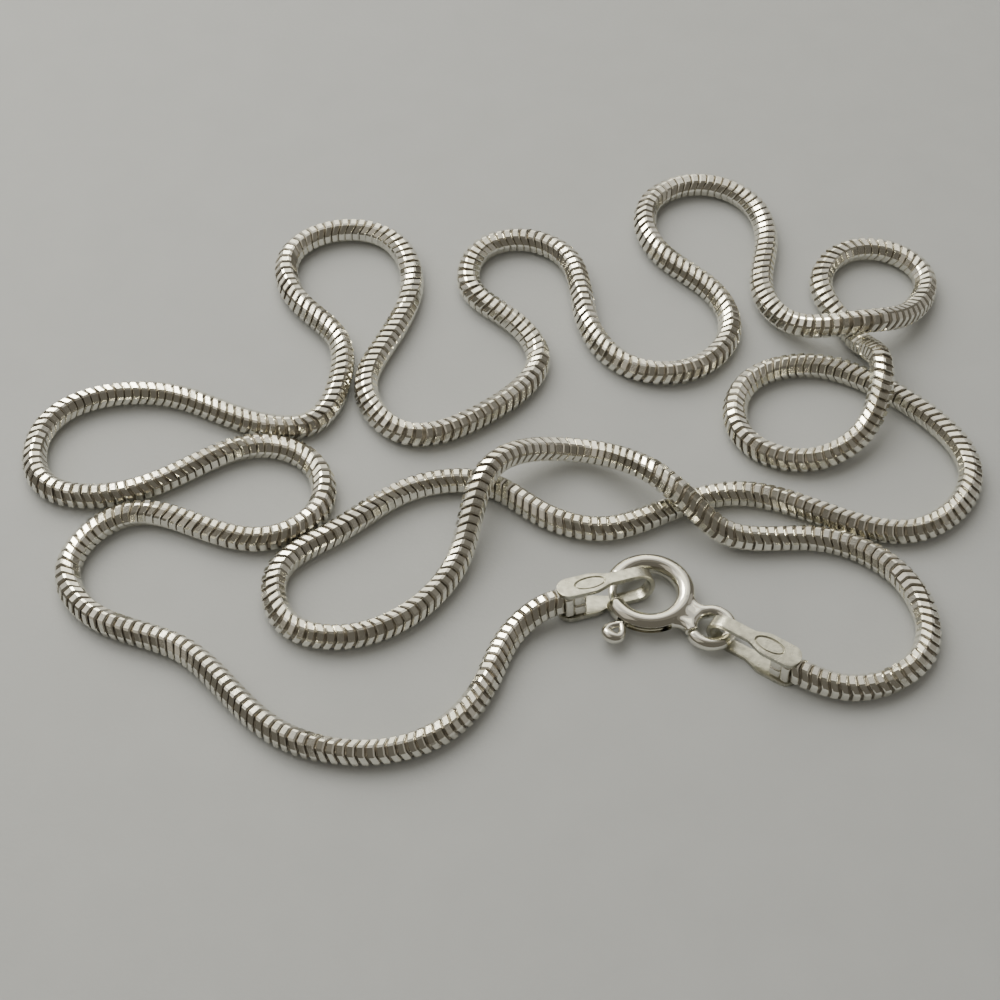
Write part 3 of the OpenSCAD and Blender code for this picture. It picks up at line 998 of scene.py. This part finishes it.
class NECKLACE_OT_chain(bpy.types.Operator):
    """Strings the nested plates along the route, with the folds between them painted dark with shade"""
    bl_idname = "necklace.chain"
    bl_label = "Chain"

    def execute(self, context):
        chain, _, _, look = settings(context)
        route = Route(ROUTE, chain.across / 2)
        bright = silver("chain_silver", look.silver, roughness=0.16, scratches=0.25, tones=0.10,
                        by_plate=True)
        # Painted shade for the plates' end faces and the core in the gaps
        dark = painted_shade_metal("chain_painted_shade", look.shade)
        count = int((route.along[-1] - 2 * chain.collar) / chain.pitch)
        middle = round((route.length_at(HALF) - chain.collar) / chain.pitch)
        halves = (
            ("left", 0, middle, "snake_chain_left"),
            ("right", middle, count, "snake_chain_right"),
        )
        for seed, (side, first, last, node) in enumerate(halves, 1):
            plates = plate_row("chain_plates_" + side, route, chain, first, last, (bright, dark),
                               seed)
            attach(plates, BODY)
            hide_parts(node)
            core = core_row("chain_core_" + side, route, chain, first, last, dark)
            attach(core, BODY)
        return {"FINISHED"}


class NECKLACE_OT_end_caps(bpy.types.Operator):
    """Folds the two end caps over the chain's ends"""
    bl_idname = "necklace.end_caps"
    bl_label = "End caps"

    def execute(self, context):
        chain, caps, _, look = settings(context)
        pale = silver("cap_silver", look.pale_silver, roughness=0.30, scratches=0.7, tones=0.35,
                      patches=2400.0)
        inner = silver("end_link_silver", look.silver, roughness=0.25, scratches=0.3, tones=0.06)
        for side, at_start in (("left", True), ("right", False)):
            place = cap_place(caps, at_start, chain.across / 2)
            cap = end_cap(side + "_cap_strip", caps, place, pale)
            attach(cap, BODY)
            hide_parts(side + "_end_cap")
            link = end_link(side + "_end_link", caps, place, inner)
            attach(link, BODY)
        return {"FINISHED"}


class NECKLACE_OT_bolt_ring(bpy.types.Operator):
    """Makes the bolt ring with its neck and eyelet"""
    bl_idname = "necklace.bolt_ring"
    bl_label = "Bolt ring"

    def execute(self, context):
        _, _, clasp, look = settings(context)
        polished = silver("ring_silver", look.silver, roughness=0.1, scratches=0.08, tones=0.04)
        ring = ring_piece("bolt_ring", clasp, polished)
        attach(ring, BODY)
        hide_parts("clasp_ring")
        return {"FINISHED"}


class NECKLACE_OT_bolt(bpy.types.Operator):
    """Makes the sprung bolt with its trigger"""
    bl_idname = "necklace.bolt"
    bl_label = "Bolt"

    def execute(self, context):
        _, _, clasp, look = settings(context)
        polished = silver("bolt_silver", look.silver, roughness=0.12, scratches=0.1, tones=0.05)
        bolt = bolt_piece("bolt_and_trigger", clasp, polished)
        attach(bolt, BOLT_BODY)
        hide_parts("clasp_bolt")
        return {"FINISHED"}


class NECKLACE_OT_stage(bpy.types.Operator):
    """Lays the plain surface and lights it softly from behind and the left"""
    bl_idname = "necklace.stage"
    bl_label = "Stage"

    def execute(self, context):
        look = settings(context)[3]
        bm = bmesh.new()
        bmesh.ops.create_grid(bm, x_segments=1, y_segments=1, size=SURFACE_REACH)
        floor = new_object("surface", finished_mesh(bm, "surface"))
        floor.data.materials.append(surface_material(look.ground))
        for lamp in LAMPS:
            hang_lamp(*lamp)
        world = context.scene.world or bpy.data.worlds.new("room")
        context.scene.world = world
        world.use_nodes = True
        background = world.node_tree.nodes["Background"]
        background.inputs["Color"].default_value = (*look.room, 1.0)
        background.inputs["Strength"].default_value = 1.0
        return {"FINISHED"}


class NECKLACE_PT_panel(bpy.types.Panel):
    """Lists the necklace's pieces in the order in which they are made"""
    bl_idname = "NECKLACE_PT_panel"
    bl_label = "Snake chain necklace"
    bl_space_type = "VIEW_3D"
    bl_region_type = "UI"
    bl_category = "Necklace"

    def draw(self, context):
        for operator in OPERATORS:
            self.layout.operator(operator.bl_idname)


# The settings by their names on the scene, and the operators in the order in which they run
GROUPS = (
    ("necklace_chain", NecklaceChain),
    ("necklace_caps", NecklaceCaps),
    ("necklace_clasp", NecklaceClasp),
    ("necklace_look", NecklaceLook),
)
OPERATORS = (
    NECKLACE_OT_camera,
    NECKLACE_OT_chain,
    NECKLACE_OT_end_caps,
    NECKLACE_OT_bolt_ring,
    NECKLACE_OT_bolt,
    NECKLACE_OT_stage,
)


def register():
    """Makes the settings, the operators and the panel known"""
    for name, group in GROUPS:
        bpy.utils.register_class(group)
        setattr(bpy.types.Scene, name, bpy.props.PointerProperty(type=group))
    for operator in OPERATORS:
        bpy.utils.register_class(operator)
    bpy.utils.register_class(NECKLACE_PT_panel)


def unregister():
    """Takes the panel, the operators and the settings away again"""
    bpy.utils.unregister_class(NECKLACE_PT_panel)
    for operator in reversed(OPERATORS):
        bpy.utils.unregister_class(operator)
    for name, group in reversed(GROUPS):
        delattr(bpy.types.Scene, name)
        bpy.utils.unregister_class(group)


def main():
    """Makes the necklace and its stage"""
    register()
    bpy.ops.necklace.camera()
    bpy.ops.necklace.chain()
    bpy.ops.necklace.end_caps()
    bpy.ops.necklace.bolt_ring()
    bpy.ops.necklace.bolt()
    bpy.ops.necklace.stage()


if __name__ == "__main__":
    main()
